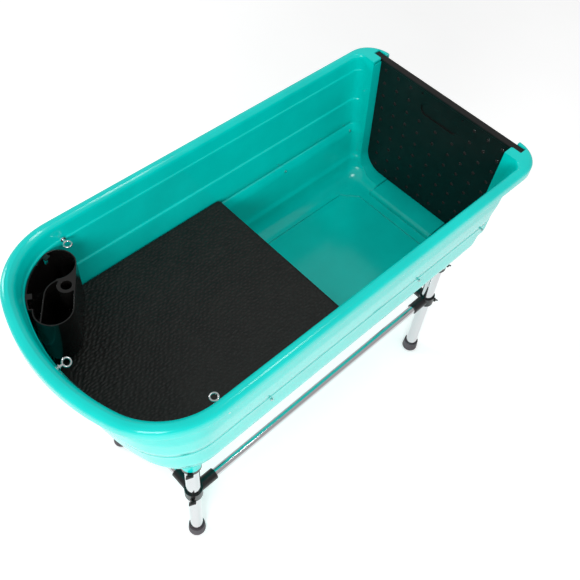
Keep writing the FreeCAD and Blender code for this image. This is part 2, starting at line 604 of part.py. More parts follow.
def make_leg(corner, x, y):
    """Socket ring, upper tube, connector, locking screws, lower tube and rubber foot of one leg."""
    away = outward(x, y)
    name = "".join(word.capitalize() for word in corner.split("_"))

    ring_low = size("boss_bottom") - size("ring_gap") - size("ring_height")
    ring = cylinder(name + "Ring", "[ring_radius]", "[ring_height]", at(V(0, 0, 0)))
    ear = block(name + "Ear", "[ring_radius] + [ear_length]", "[ear_width]", "[ear_thick]",
                FreeCAD.Placement(V(0, -size("ear_width") / 2, size("ear_height")),
                                  FreeCAD.Rotation()))
    bore = cylinder(name + "RingBore", "[upper_radius] + [socket_play]", "[ring_height] + 2",
                    at(V(0, 0, -1)))
    hole = cylinder(name + "RingHole", "[screw_radius] + [screw_play]", "[screw_hole]",
                    at(V(0, 0, size("ring_height") / 2), away))
    collar = cut(name + "RingCut", fuse(name + "RingSolid", [ring, ear]),
                 fuse(name + "RingTools", [bore, hole]))
    finish(collar, f"leg_socket_ring_{corner}", at(V(x, y, ring_low)))
    thumb_screw(f"socket_screw_{corner}", V(x, y, ring_low + size("ring_height") / 2), away,
                "socket_screw_reach", size("upper_radius") + size("screw_gap"))

    tube(f"upper_leg_{corner}", "upper_radius", "upper_bore",
         "[boss_bottom] + [socket_depth] - 0.5 - [upper_bottom]", at(V(x, y, size("upper_bottom"))))

    hub = cylinder(name + "Hub", "[hub_radius]", "[hub_height]", at(V(0, 0, -size("hub_height") / 2)))
    along_x, along_y = V(-math.copysign(1, x), 0, 0), V(0, -math.copysign(1, y), 0)
    arms = [cylinder(f"{name}Arm{number}", "[arm_radius]", "[arm_length]", at(V(0, 0, 0), way))
            for number, way in enumerate((along_x, along_y))]
    rail_bores = [cylinder(f"{name}RailBore{number}", "[rail_radius]", "[arm_length]",
                           at(way * size("rail_start"), way))
                  for number, way in enumerate((along_x, along_y))]
    leg_bore = cylinder(name + "LegBore", "[upper_radius] + [socket_play]", "[hub_height]",
                        at(V(0, 0, size("upper_bottom") - size("rail_height"))))
    low_bore = cylinder(name + "LowBore", "[lower_radius] + [socket_play]", "[hub_height]",
                        at(V(0, 0, -size("hub_height") / 2 - 1)))
    lock = V(0, 0, size("lock_drop"))
    lock_hole = cylinder(name + "LockHole", "[screw_radius] + [screw_play]", "[screw_hole]",
                         at(lock, away))
    connector = cut(name + "ConnectorCut", fuse(name + "ConnectorSolid", [hub] + arms),
                    fuse(name + "ConnectorTools", rail_bores + [leg_bore, low_bore, lock_hole]))
    finish(connector, f"corner_connector_{corner}", at(V(x, y, size("rail_height"))))
    thumb_screw(f"leg_lock_screw_{corner}", V(x, y, size("rail_height")) + lock, away,
                "lock_screw_reach", size("lower_radius") + size("screw_gap"))

    tube(f"lower_leg_{corner}", "lower_radius", "lower_bore", "[lower_length]",
         at(V(x, y, size("lower_bottom"))))
    make_foot(corner, x, y)


def make_foot(corner, x, y):
    """Rubber foot: a cap revolved from a rounded profile, with a blind bore for the leg."""
    radius, tall, fillet = size("foot_radius"), size("foot_height"), size("foot_round")
    bore, sole = size("lower_radius"), size("lower_bottom")
    body = doc.addObject("PartDesign::Body", f"foot_{corner}_body")
    sketch = new_sketch(body, f"foot_{corner}_profile", "XZ_Plane")
    mid = fillet * (1 - math.sqrt(0.5))
    top = radius - 2
    points = [V(0, 0, 0), V(radius - fillet, 0, 0), V(radius, fillet, 0), V(top, tall, 0),
              V(bore, tall, 0), V(bore, sole, 0), V(0, sole, 0)]
    sketch.addGeometry(Part.LineSegment(points[0], points[1]))
    sketch.addGeometry(Part.Arc(points[1], V(radius - mid, mid, 0), points[2]))
    for start, end in zip(points[2:], points[3:] + points[:1]):
        sketch.addGeometry(Part.LineSegment(start, end))
    turned = body.newObject("PartDesign::Revolution", f"foot_{corner}_turned")
    turned.Profile = sketch
    turned.ReferenceAxis = (sketch, ["V_Axis"])
    turned.Angle = 360
    body.Tip = turned
    finish(body, f"foot_{corner}", at(V(x, y, 0)))


def make_rails():
    """Four chrome rails between the connectors, each seated inside two sleeves."""
    start, half, height = size("rail_start"), size("leg_half_spacing"), size("rail_height")
    left, right = size("leg_front_x"), size("leg_rear_x")
    for side, y in (("front", -half), ("rear", half)):
        tube(f"long_rail_{side}", "rail_radius", "rail_bore",
             "[leg_rear_x] - [leg_front_x] - 2 * [rail_start]", at(V(left + start, y, height), X_AXIS))
    for side, x in (("left", left), ("right", right)):
        tube(f"cross_rail_{side}", "rail_radius", "rail_bore",
             "2 * [leg_half_spacing] - 2 * [rail_start]", at(V(x, -half + start, height), Y_AXIS))


# ---------------------------------------------------------------- eyebolts and screws
def make_eyebolts():
    """Three ring bolts for restraint leads, each with a washer and a nut behind the wall."""
    washers, nuts = [], []
    for side, (point, inward) in EYES.items():
        name = "Eye" + side.capitalize()
        reach = size("eye_reach")
        ring = bind(doc.addObject("Part::Torus", name + "Ring"), Radius1="[eye_ring] - [eye_wire]",
                    Radius2="[eye_wire]")
        # the ring's plane holds the shank's axis
        ring.Placement = FreeCAD.Placement(V(0, 0, reach), FreeCAD.Rotation(X_AXIS, 90))
        shank_length = reach - size("eye_ring") + size("eye_wire") + 26
        shank = cylinder(name + "Shank", "[eye_shank]", f"{shank_length} mm",
                         at(V(0, 0, -26)))
        stop = cylinder(name + "Stop", "[eye_shank] + 3", "2 mm", at(V(0, 0, size("eye_front"))))
        turned = at(point, inward)
        turned.Rotation = turned.Rotation.multiply(FreeCAD.Rotation(Z_AXIS, EYE_TURNS[side]))
        finish(fuse(name, [ring, shank, stop]), f"restraint_eye_{side}", turned)
        back = point - inward * (size("wall") + size("eye_back"))
        washers.append(washer(name, back, inward))
        nuts.append(nut(name, back - inward * size("washer_height"), inward))
    finish(fuse("EyeWashers", washers), "eye_washers")
    finish(fuse("EyeNuts", nuts), "eye_nuts")


def washer(name, point, inward):
    disc = cylinder(name + "WasherDisc", "[washer_radius]", "[washer_height]", at(point, inward * -1))
    hole = cylinder(name + "WasherHole", "[eye_shank]", "[washer_height] + 2",
                    at(point + inward, inward * -1))
    return cut(name + "Washer", disc, hole)


def nut(name, point, inward):
    prism = bind(doc.addObject("Part::Prism", name + "NutBlank"), Circumradius="[nut_radius]",
                 Height="[nut_height]")
    prism.Polygon = 6
    prism.Placement = at(point, inward * -1)
    hole = cylinder(name + "NutHole", "[eye_shank]", "[nut_height] + 2",
                    at(point + inward, inward * -1))
    return cut(name + "Nut", prism, hole)


def make_wall_screws():
    """Small pan-head screws in the side walls, with their nuts outside."""
    screws, nuts = [], []
    for number, point in enumerate(PAN_SCREWS):
        inward = V(0, -math.copysign(1, point.y), 0)
        # the head stands off the sloping wall by the dip of its lower edge
        seat = point + inward * size("pan_front")
        head = cylinder(f"PanHead{number}", "[pan_radius]", "[pan_thick]", at(seat, inward))
        shank = cylinder(f"PanShank{number}", "[pan_shank]", "14 mm", at(seat - inward * 14, inward))
        screws.append(fuse(f"PanScrew{number}", [head, shank]))
        back = point - inward * (size("wall") + size("pan_back"))
        blank = bind(doc.addObject("Part::Prism", f"PanNutBlank{number}"), Circumradius="[pan_radius]",
                     Height="3 mm")
        blank.Polygon = 6
        blank.Placement = at(back, inward * -1)
        hole = cylinder(f"PanNutHole{number}", "[pan_shank]", "5 mm", at(back + inward, inward * -1))
        nuts.append(cut(f"PanNut{number}", blank, hole))
    finish(fuse("PanScrews", screws), "wall_screws")
    finish(fuse("PanNuts", nuts), "wall_screw_nuts")


# ---------------------------------------------------------------- drain
def make_drain():
    """Flanged drain with a strainer, a gasket under the floor and a lock nut."""
    level = size("floor_height") - size("recess_depth")
    x = size("drain_x")
    flange = cylinder("DrainFlange", "[drain_flange]", "[drain_flange_thick]", at(V(0, 0, 0.1)))
    # the pipe that the nut screws on narrows through a short cone to the hose spigot
    under = size("floor_height") - size("wall")
    nut_low = under - level - size("gasket_thick") - size("drain_nut_height") - 0.2
    step = size("drain_bore") + size("drain_wall") - size("drain_spigot")
    pipe_low = nut_low - 1
    pipe = cylinder("DrainPipe", "[drain_bore] + [drain_wall]", f"{1 - pipe_low} mm",
                    at(V(0, 0, pipe_low)))
    taper = bind(doc.addObject("Part::Cone", "DrainTaper"), Radius1="[drain_spigot]",
                 Radius2="[drain_bore] + [drain_wall]", Height=f"{step} mm")
    taper.Placement = at(V(0, 0, pipe_low - step))
    spigot = cylinder("DrainSpigot", "[drain_spigot]", f"[drain_length] - {step - pipe_low}",
                      at(V(0, 0, -size("drain_length"))))
    bore = cylinder("DrainBore", "[drain_bore]", "[drain_length] + 10",
                    at(V(0, 0, -size("drain_length") - 2)))
    drain = cut("DrainCut", fuse("DrainSolid", [flange, pipe, taper, spigot]), bore)
    finish(drain, "drain_outlet", at(V(x, 0, level)))
    for label, radius, height, drop in (("drain_gasket", "[drain_nut] + 2", "[gasket_thick]", 0.1),
                                        ("drain_lock_nut", "[drain_nut]", "[drain_nut_height]",
                                         size("gasket_thick") + 0.2)):
        name = label.replace("_", "")
        disc = cylinder(name + "Disc", radius, height, at(V(0, 0, 0)))
        hole = cylinder(name + "Hole", "[drain_bore] + [drain_wall]", height + " + 2",
                        at(V(0, 0, -1)))
        tall = size("gasket_thick") if label == "drain_gasket" else size("drain_nut_height")
        finish(cut(name + "Cut", disc, hole), label, at(V(x, 0, under - drop - tall)))
    disc = cylinder("StrainerDisc", "[drain_bore] - 0.2", "2 mm", at(V(0, 0, 0)))
    holes = []
    for ring, count in ((6.0, 6), (12.0, 12)):
        for number in range(count):
            turn = 2 * math.pi * number / count
            holes.append(cylinder(f"StrainerHole{int(ring)}x{number}", "[strainer_hole]", "6 mm",
                                  at(V(ring * math.cos(turn), ring * math.sin(turn), -2))))
    finish(cut("StrainerCut", disc, fuse("StrainerHoles", holes)), "drain_strainer",
           at(V(x, 0, level - 1.5)))


# ---------------------------------------------------------------- assembly
def main():
    make_tub_shell()
    make_gate()
    make_platform()
    make_caddy()
    for corner, (x, y) in LEGS.items():
        make_leg(corner, x, y)
    make_rails()
    make_eyebolts()
    make_wall_screws()
    make_drain()
    doc.recompute()

    for thing in doc.Objects:
        if {"Invalid", "Error"} & set(thing.State):
            raise RuntimeError(f"{thing.Label} failed: {thing.State}")
    for part in subparts:
        if part.Shape.isNull() or not part.Shape.isValid() or not part.Shape.Solids:
            raise RuntimeError(f"{part.Label} has no valid solid")
    os.makedirs("parts", exist_ok=True)
    for part in subparts:
        part.Shape.exportStep(f"parts/{part.Label}.step")
        print(f"{part.Label}: {len(part.Shape.Solids)} solid, {part.Shape.Volume / 1000:.1f} cm3")


main()
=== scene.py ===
"""Builds the visual model of a raised pet bathtub around its CAD frame."""
import math

import bmesh
import bpy
import numpy as np
from bpy.props import FloatProperty, FloatVectorProperty, PointerProperty, StringProperty
from mathutils import Matrix, Vector


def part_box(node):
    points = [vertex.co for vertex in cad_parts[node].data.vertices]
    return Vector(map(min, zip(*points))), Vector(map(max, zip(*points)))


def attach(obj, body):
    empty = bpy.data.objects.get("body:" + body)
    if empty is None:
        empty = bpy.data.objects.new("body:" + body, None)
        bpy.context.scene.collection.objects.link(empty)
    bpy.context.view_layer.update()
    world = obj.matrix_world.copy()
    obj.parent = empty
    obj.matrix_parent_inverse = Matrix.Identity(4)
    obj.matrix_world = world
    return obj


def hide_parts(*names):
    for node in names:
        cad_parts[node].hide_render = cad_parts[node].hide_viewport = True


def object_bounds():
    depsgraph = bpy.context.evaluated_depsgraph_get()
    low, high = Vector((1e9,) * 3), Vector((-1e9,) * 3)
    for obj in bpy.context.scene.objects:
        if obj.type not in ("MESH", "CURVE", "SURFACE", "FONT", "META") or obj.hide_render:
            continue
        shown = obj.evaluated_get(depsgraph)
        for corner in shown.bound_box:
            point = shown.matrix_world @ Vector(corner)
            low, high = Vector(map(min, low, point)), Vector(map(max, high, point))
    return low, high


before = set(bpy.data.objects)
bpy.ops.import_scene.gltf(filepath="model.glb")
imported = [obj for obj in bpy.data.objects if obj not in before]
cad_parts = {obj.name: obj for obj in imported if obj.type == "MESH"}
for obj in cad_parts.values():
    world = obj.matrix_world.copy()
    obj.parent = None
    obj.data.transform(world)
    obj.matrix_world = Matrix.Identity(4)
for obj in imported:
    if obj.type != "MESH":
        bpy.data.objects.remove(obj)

bl_info = {
    "name": "Pet Bathtub",
    "version": (1, 0, 0),
    "blender": (4, 5, 0),
    "location": "View3D > Sidebar > Bathtub",
    "description": "Builds a raised pet bathtub with its gate, platform, caddy and leg frame",
    "category": "Add Mesh",
}

CAD_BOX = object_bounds()
MM = 0.001


# ---------------------------------------------------------------- properties
def length(name, description, millimetres):
    """A length property whose default is given in millimetres."""
    return FloatProperty(name=name, description=description, default=millimetres * MM,
                         unit="LENGTH", precision=5)


def hex_colour(name, description, value):
    """A text property that holds a colour as sRGB hex."""
    return StringProperty(name=name, description=description, default=value)


class TubSizes(bpy.types.PropertyGroup):
    """Sizes of the moulded tub."""
    half_width: length("Half width", "Rim's outer edge from the middle line", 300)
    rim_height: length("Rim height", "Top of the rim above the ground", 905)
    end_depth: length("Round end depth", "How far the rounded end reaches past the straight sides", 210)
    end_corner: length("Round end corner", "Radius of the rounded end's corners at the rim", 190)
    square_corner: length("Square corner", "Radius of the rim's corners at the gate end", 75)
    skirt: length("Skirt wall", "Thickness of the rim's outer skirt", 4.5)
    wall: length("Wall", "Thickness of the tub's wall", 5)
    floor_height: length("Floor height", "Inside of the floor above the ground", 500)
    floor_half: length("Floor half width", "Flat part of the floor from the middle line", 180)
    floor_end: length("Floor end", "Where the flat floor ends towards the gate", 510)
    floor_radius: length("Floor radius", "Radius between floor and wall", 46)
    end_wall: length("End wall", "Inside of the wall at the gate end", 556)
    gate_slot: length("Gate slot", "Inner face of the slot that holds the gate", 588)
    colour: hex_colour("Colour", "Turquoise of the moulding", "#00D4CB")


class StageSettings(bpy.types.PropertyGroup):
    """Camera and light of the stage."""
    azimuth: FloatProperty(name="Azimuth", description="Camera's turn round the tub",
                           default=math.radians(-49.74), subtype="ANGLE")
    elevation: FloatProperty(name="Elevation", description="Camera's height angle",
                             default=math.radians(52.66), subtype="ANGLE")
    roll: FloatProperty(name="Roll", description="Camera's turn about its own axis",
                        default=math.radians(7.37), subtype="ANGLE")
    lens: FloatProperty(name="Lens", description="Focal length on a 36 mm sensor", default=47.48)
    place: FloatVectorProperty(name="Place", description="Camera's position", subtype="TRANSLATION",
                               default=(-0.83074, -0.80033, 2.19366))
    floor: hex_colour("Floor", "Pale floor", "#FFFFFF")


# ---------------------------------------------------------------- small tools
def linear(code):
    """An sRGB hex colour as linear RGBA: each channel goes through the sRGB curve's inverse."""
    channels = np.array([int(code[start:start + 2], 16) / 255 for start in (1, 3, 5)])
    values = np.where(channels <= 0.04045, channels / 12.92, ((channels + 0.055) / 1.055) ** 2.4)
    return (*values.tolist(), 1.0)


def add_node(tree, kind, settings=None, links=None):
    """Adds a node, sets its properties and sockets by name, and links sockets to other nodes'."""
    node = tree.nodes.new(kind)
    for name, value in (settings or {}).items():
        if name in node.inputs:
            node.inputs[name].default_value = value
        else:
            setattr(node, name, value)
    for name, source in (links or {}).items():
        tree.links.new(source, node.inputs[name])
    return node


def new_material(name, settings):
    """A material with one principled shader: returns the material, its node tree and the shader."""
    material = bpy.data.materials.new(name)
    material.use_nodes = True
    tree = material.node_tree
    tree.nodes.clear()
    shader = add_node(tree, "ShaderNodeBsdfPrincipled", settings)
    add_node(tree, "ShaderNodeOutputMaterial", links={"Surface": shader.outputs["BSDF"]})
    return material, tree, shader


def object_place(tree, scale=(1, 1, 1)):
    """Object coordinates in metres, scaled per axis."""
    coordinates = add_node(tree, "ShaderNodeTexCoord")
    mapping = add_node(tree, "ShaderNodeMapping", {"Scale": scale},
                       {"Vector": coordinates.outputs["Object"]})
    return mapping.outputs["Vector"]


def paint(node_name, material):
    """Gives a CAD node or a new piece one material on all its faces."""
    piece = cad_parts[node_name] if isinstance(node_name, str) else node_name
    piece.data.materials.clear()
    piece.data.materials.append(material)


def mesh_object(name, vertices, faces):
    """An object at the origin whose mesh holds these vertices, in metres, and faces."""
    mesh = bpy.data.meshes.new(name)
    mesh.from_pydata(vertices, [], faces)
    mesh.validate()
    piece = bpy.data.objects.new(name, mesh)
    bpy.context.scene.collection.objects.link(piece)
    return piece


def ring_faces(rows, columns):
    """Quads of a grid whose columns close on themselves: each joins two neighbours of two rows."""
    row, column = np.meshgrid(np.arange(rows - 1), np.arange(columns), indexing="ij")
    following = (column + 1) % columns
    quads = np.stack([row * columns + column, row * columns + following,
                      (row + 1) * columns + following, (row + 1) * columns + column], axis=-1)
    return quads.reshape(-1, 4)


def stacked_solid(name, rings):
    """Closed solid through closed rings (rows, points, 3), with flat caps on the first and last."""
    rows, columns = rings.shape[:2]
    faces = ring_faces(rows, columns).tolist()
    faces.append(list(range(columns))[::-1])
    faces.append(list(range((rows - 1) * columns, rows * columns)))
    return mesh_object(name, rings.reshape(-1, 3).tolist(), faces)


def face_outwards(piece):
    """Turns every face of a closed mesh outwards."""
    mesh = bmesh.new()
    mesh.from_mesh(piece.data)
    bmesh.ops.recalc_face_normals(mesh, faces=mesh.faces)
    mesh.to_mesh(piece.data)
    mesh.free()


def soften(piece, angle=math.radians(30)):
    """Smooth shading, with edges over an angle kept sharp."""
    piece.data.shade_smooth()
    piece.data.set_sharp_from_angle(angle=angle)


def apply_modifiers(piece):
    """Replaces a piece's mesh by the result of its modifiers."""
    depsgraph = bpy.context.evaluated_depsgraph_get()
    result = bpy.data.meshes.new_from_object(piece.evaluated_get(depsgraph))
    piece.modifiers.clear()
    piece.data = result


def combine(piece, tools, operation):
    """Joins tools to a closed piece, or cuts them out of it, one after another."""
    for tool in tools:
        modifier = piece.modifiers.new(operation, "BOOLEAN")
        modifier.object, modifier.operation, modifier.solver = tool, operation, "EXACT"
        bpy.context.view_layer.update()
        apply_modifiers(piece)
        bpy.data.objects.remove(tool)


def move_mm(points):
    """Millimetres to metres."""
    return np.asarray(points, float) * MM


# ---------------------------------------------------------------- finishes
def moulded_polyethylene(name, colour, roughness, grain):
    """Rotomoulded polyethylene: a coloured gloss skin with a faint orange peel.

    The peel bends highlights a little, and slow drifts of roughness keep wide walls from looking
    flat.
    """
    material, tree, shader = new_material(name, {
        "Roughness": roughness, "IOR": 1.51, "Specular IOR Level": 0.4})
    place = object_place(tree)
    drift = add_node(tree, "ShaderNodeTexNoise", {"Scale": 9.0, "Detail": 3.0}, {"Vector": place})
    shade = add_node(tree, "ShaderNodeValToRGB", links={"Fac": drift.outputs["Fac"]})
    tone = np.array(linear(colour))
    shade.color_ramp.elements[0].position, shade.color_ramp.elements[1].position = 0.3, 0.7
    shade.color_ramp.elements[0].color = (*(tone[:3] * 0.93).tolist(), 1)
    shade.color_ramp.elements[1].color = (*np.minimum(tone[:3] * 1.05, 1).tolist(), 1)
    tree.links.new(shade.outputs["Color"], shader.inputs["Base Color"])
    gloss = add_node(tree, "ShaderNodeMapRange",
                     {"To Min": roughness - 0.03, "To Max": roughness + 0.04},
                     {"Value": drift.outputs["Fac"]})
    tree.links.new(gloss.outputs["Result"], shader.inputs["Roughness"])
    # peel cells of about 2 mm
    peel = add_node(tree, "ShaderNodeTexNoise", {"Scale": 450.0, "Detail": 2.0}, {"Vector": place})
    rounded = add_node(tree, "ShaderNodeBevel", {"samples": 4, "Radius": 4.0 * MM})
    bump = add_node(tree, "ShaderNodeBump", {"Strength": grain, "Distance": 0.1 * MM},
                    {"Height": peel.outputs["Fac"], "Normal": rounded.outputs["Normal"]})
    tree.links.new(bump.outputs["Normal"], shader.inputs["Normal"])
    return material


def plain_moulding(name, colour, roughness, cell, depth, edge=1.0, coat=0.0, gleam=0.5):
    """Injection-moulded plastic: one colour, a fine grain of the mould, and slightly rounded edges.

    The grain is noise with cells of the given size, in millimetres, and the given depth, and gives
    broken, soft highlights. Gleam is the strength of the shine, and coat adds a clear gloss.
    """
    material, tree, shader = new_material(name, {
        "IOR": 1.5, "Specular IOR Level": gleam, "Coat Weight": coat, "Coat Roughness": 0.05})
    place = object_place(tree)
    tone = np.array(linear(colour))
    wear = add_node(tree, "ShaderNodeTexNoise", {"Scale": 25.0, "Detail": 4.0}, {"Vector": place})
    shade = add_node(tree, "ShaderNodeValToRGB", links={"Fac": wear.outputs["Fac"]})
    shade.color_ramp.elements[0].position, shade.color_ramp.elements[1].position = 0.35, 0.7
    shade.color_ramp.elements[0].color = (*(tone[:3] * 0.8).tolist(), 1)
    shade.color_ramp.elements[1].color = (*np.minimum(tone[:3] * 1.25, 1).tolist(), 1)
    tree.links.new(shade.outputs["Color"], shader.inputs["Base Color"])
    gloss = add_node(tree, "ShaderNodeMapRange",
                     {"To Min": max(roughness - 0.06, 0.02), "To Max": roughness + 0.08},
                     {"Value": wear.outputs["Fac"]})
    tree.links.new(gloss.outputs["Result"], shader.inputs["Roughness"])
    grain = add_node(tree, "ShaderNodeTexNoise", {"Scale": 1.0 / (cell * MM), "Detail": 2.0},
                     {"Vector": place})
    rounded = add_node(tree, "ShaderNodeBevel", {"samples": 4, "Radius": edge * MM})
    bump = add_node(tree, "ShaderNodeBump", {"Strength": 0.6, "Distance": depth * MM},
                    {"Height": grain.outputs["Fac"], "Normal": rounded.outputs["Normal"]})
    tree.links.new(bump.outputs["Normal"], shader.inputs["Normal"])
    return material


def plated_metal(name, colour, roughness, brush):
    """Plated steel: a mirror or satin metal with faint wipe marks that vary its roughness."""
    material, tree, shader = new_material(name, {"Metallic": 1.0, "Base Color": linear(colour)})
    place = object_place(tree, scale=(1, 1, brush))
    marks = add_node(tree, "ShaderNodeTexNoise", {"Scale": 120.0, "Detail": 5.0}, {"Vector": place})
    gloss = add_node(tree, "ShaderNodeMapRange",
                     {"To Min": roughness * 0.6, "To Max": roughness * 1.5},
                     {"Value": marks.outputs["Fac"]})
    tree.links.new(gloss.outputs["Result"], shader.inputs["Roughness"])
    return material


def make_finishes():
    """Every finish of the bathtub by name."""
    return {
        "tub": moulded_polyethylene("turquoise_polyethylene", bpy.context.scene.bathtub_tub.colour,
                                    roughness=0.15, grain=0.2),
        "gate": plain_moulding("black_sheet_polyethylene", "#121110", roughness=0.36, cell=1.2,
                               depth=0.05, gleam=0.3),
        "platform": plain_moulding("embossed_black_polypropylene", "#1D1C1A", roughness=0.5,
                                   cell=1.2, depth=0.1, gleam=0.25),
        "caddy": plain_moulding("gloss_black_styrene", "#100F0E", roughness=0.14, cell=3.0,
                                depth=0.02, coat=0.1, gleam=0.35),
        "fitting": plain_moulding("black_glass_filled_nylon", "#0B0B0C", roughness=0.3, cell=0.8,
                                  depth=0.05),
        "chrome": plated_metal("chrome_plated_steel", "#D2D0D2", roughness=0.09, brush=0.2),
        "zinc": plated_metal("zinc_plated_steel", "#D2D3D4", roughness=0.22, brush=1.0),
        "foot": plain_moulding("grey_moulded_rubber", "#454045", roughness=0.62, cell=0.7,
                               depth=0.08),
        "gasket": plain_moulding("black_gasket_rubber", "#151515", roughness=0.7, cell=0.7,
                                 depth=0.05, edge=0.5),
        "strainer": plated_metal("punched_stainless_sheet", "#C4C6C8", roughness=0.3, brush=0.3),
    }


FINISHES = {}


def finish_named(name):
    """A finish, made the first time that it is asked for."""
    if not FINISHES:
        FINISHES.update(make_finishes())
    return FINISHES[name]


# ---------------------------------------------------------------- tub outlines
# heights and half widths of the inner and the outer wall, in millimetres, from the floor's edge up
INNER_WALL = np.array([(546, 226), (558, 227), (566, 234), (578, 236), (648, 242.5), (656, 244.5),
                       (676, 254), (760.5, 260.6), (763, 264.4), (858, 267), (860.5, 269.6), (894, 273),
                       (901, 276), (904, 280), (906, 284)], float)
OUTER_WALL = np.array([(546, 231), (566, 240), (578, 243), (655, 251), (760, 267), (860, 274),
                       (872, 275.7), (902, 280)], float)
# plan radius of the corners beside the gate, by height: inside and outside of the wall
INNER_CORNER = np.array([(546, 40), (575, 25)], float)
OUTER_CORNER = np.array([(546, 45), (575, 30)], float)
# how far the rounded end leans in, beyond the sides' own inset, by height
END_LEAN = np.array([(0, 27), (546, 27), (600, 20), (700, 10), (872, 9), (894, 4), (901, 1), (904, 0),
                     (1000, 0)], float)


def smoothed(table, heights, spread=1.2):
    """A table's value at heights, with its corners rounded: its straight runs averaged by a bell
    curve of the given spread, in millimetres."""
    offsets = np.linspace(-3, 3, 13) * spread
    weights = np.exp(-0.5 * (offsets / spread) ** 2)
    samples = np.interp(heights[:, None] + offsets, table[:, 0], table[:, 1])
    return samples @ weights / weights.sum()


def outlines(height, half, right, corner, lean):
    """Closed plan rings (rows, points, 3) in millimetres, one per height.

    Each ring runs round straight sides and a square end with rounded corners, and closes with the
    rounded end: two corner arcs and a large arc tangent to both, all drawn from fixed centres that
    the lean moves along X.
    """
    sizes = bpy.context.scene.bathtub_tub
    half_width, depth = sizes.half_width / MM, sizes.end_depth / MM
    round_corner = sizes.end_corner / MM
    half_length = (CAD_BOX[1][0] - CAD_BOX[0][0]) / 2 / MM
    centre_y = half_width - round_corner
    end_radius = (depth ** 2 + centre_y ** 2 - round_corner ** 2) / (2 * (depth - round_corner))
    height, half, right, corner, lean = (np.broadcast_to(value, np.shape(height)).reshape(-1, 1)
                                         for value in (height, half, right, corner, lean))
    centre_x = -half_length + depth + lean
    end_x = -half_length + end_radius + lean
    angle = math.atan2(centre_y, end_radius - depth)
    inset = half_width - half
    small, large = round_corner - inset, end_radius - inset
    straight_x, side_y = right - corner, half - corner

    def along(count):
        return np.arange(count) / count

    def bow(x, y, radius, start, end, count):
        turn = start + (end - start) * along(count)
        return np.stack([x + radius * np.cos(turn), y + radius * np.sin(turn)], axis=-1)

    def run(x0, y0, x1, y1, count):
        share = along(count)
        return np.stack([x0 + (x1 - x0) * share, y0 + (y1 - y0) * share], axis=-1)

    quarter = math.pi / 2
    plan = np.concatenate([
        run(centre_x, -half, straight_x, -half, 28),
        bow(straight_x, -side_y, corner, -quarter, 0, 14),
        run(right, -side_y, right, side_y, 20),
        bow(straight_x, side_y, corner, 0, quarter, 14),
        run(straight_x, half, centre_x, half, 28),
        bow(centre_x, centre_y, small, quarter, math.pi - angle, 26),
        bow(end_x, 0, large, math.pi - angle, math.pi + angle, 22),
        bow(centre_x, -centre_y, small, math.pi + angle, 3 * quarter, 26)], axis=1)
    level = np.broadcast_to(height[..., None], (*plan.shape[:2], 1))
    return np.concatenate([plan, level], axis=-1)


def floor_rings(offset, steps=10):
    """Rings of the rounded edge between floor and wall: a quarter circle from floor to upright."""
    sizes = bpy.context.scene.bathtub_tub
    radius = sizes.floor_radius / MM + offset
    turn = np.linspace(math.pi / 2, 0, steps)
    reach = radius * np.cos(turn)
    height = (sizes.floor_height + sizes.floor_radius) / MM - radius * np.sin(turn)
    return outlines(height, sizes.floor_half / MM + reach, sizes.floor_end / MM + reach,
                    INNER_CORNER[0, 1] + offset, np.interp(height, *END_LEAN.T))


def inner_space():
    """Solid of the space inside the tub: rounded floor edge, stepped walls and flared rim."""
    sizes = bpy.context.scene.bathtub_tub
    # start, end and spacing of the ring heights, closer together where the wall steps or turns
    spans = ((550, 640, 4.0), (640, 690, 2.0), (690, 756, 6.0), (756, 768, 0.75), (768, 854, 6.0),
             (854, 866, 0.75), (866, 898, 3.0), (898, 910, 1.0))
    height = np.concatenate([np.arange(*span) for span in spans])
    half = smoothed(INNER_WALL, height)
    corner = np.interp(height, *INNER_CORNER.T)
    rings = outlines(height, half, sizes.end_wall / MM, corner, smoothed(END_LEAN, height))
    return stacked_solid("inner_space", move_mm(np.concatenate([floor_rings(0), rings])))


def outer_form():
    """Solid of the tub's outside: body, hollow under the rim, rolled lip and rim."""
    sizes = bpy.context.scene.bathtub_tub
    rim, half_width = sizes.rim_height / MM, sizes.half_width / MM
    skirt, corner = sizes.skirt / MM, sizes.square_corner / MM
    half_length = (CAD_BOX[1][0] - CAD_BOX[0][0]) / 2 / MM
    height = np.concatenate([np.arange(552, 896, 8.0), [899.0]])
    body = outlines(height, smoothed(OUTER_WALL, height), (sizes.end_wall + sizes.wall) / MM,
                    np.interp(height, *OUTER_CORNER.T), smoothed(END_LEAN, height))
    # the lip's section: up inside the skirt and down again to the lip, then out, up and over
    inwards, downwards = np.array([12, 7, skirt]), np.array([6, 8, 13])
    skirt_depth, roll = 32, 12.0
    lip = rim - skirt_depth
    lower = np.linspace(math.pi, 2 * math.pi, 9)
    edge = skirt / 2
    upper = np.linspace(0, math.pi / 2, 10)
    half = np.concatenate([half_width - inwards, half_width - edge + edge * np.cos(lower),
                           half_width - roll + roll * np.cos(upper)])
    level = np.concatenate([rim - downwards, lip + edge + edge * np.sin(lower),
                            rim - roll + roll * np.sin(upper)])
    inset = half_width - half
    brim = outlines(level, half, half_length - inset, corner - inset, 0.0)
    return stacked_solid("tub", move_mm(np.concatenate([floor_rings(sizes.wall / MM), body, brim])))


SILL_TOP = 516.0  # height of the step before the gate, in millimetres


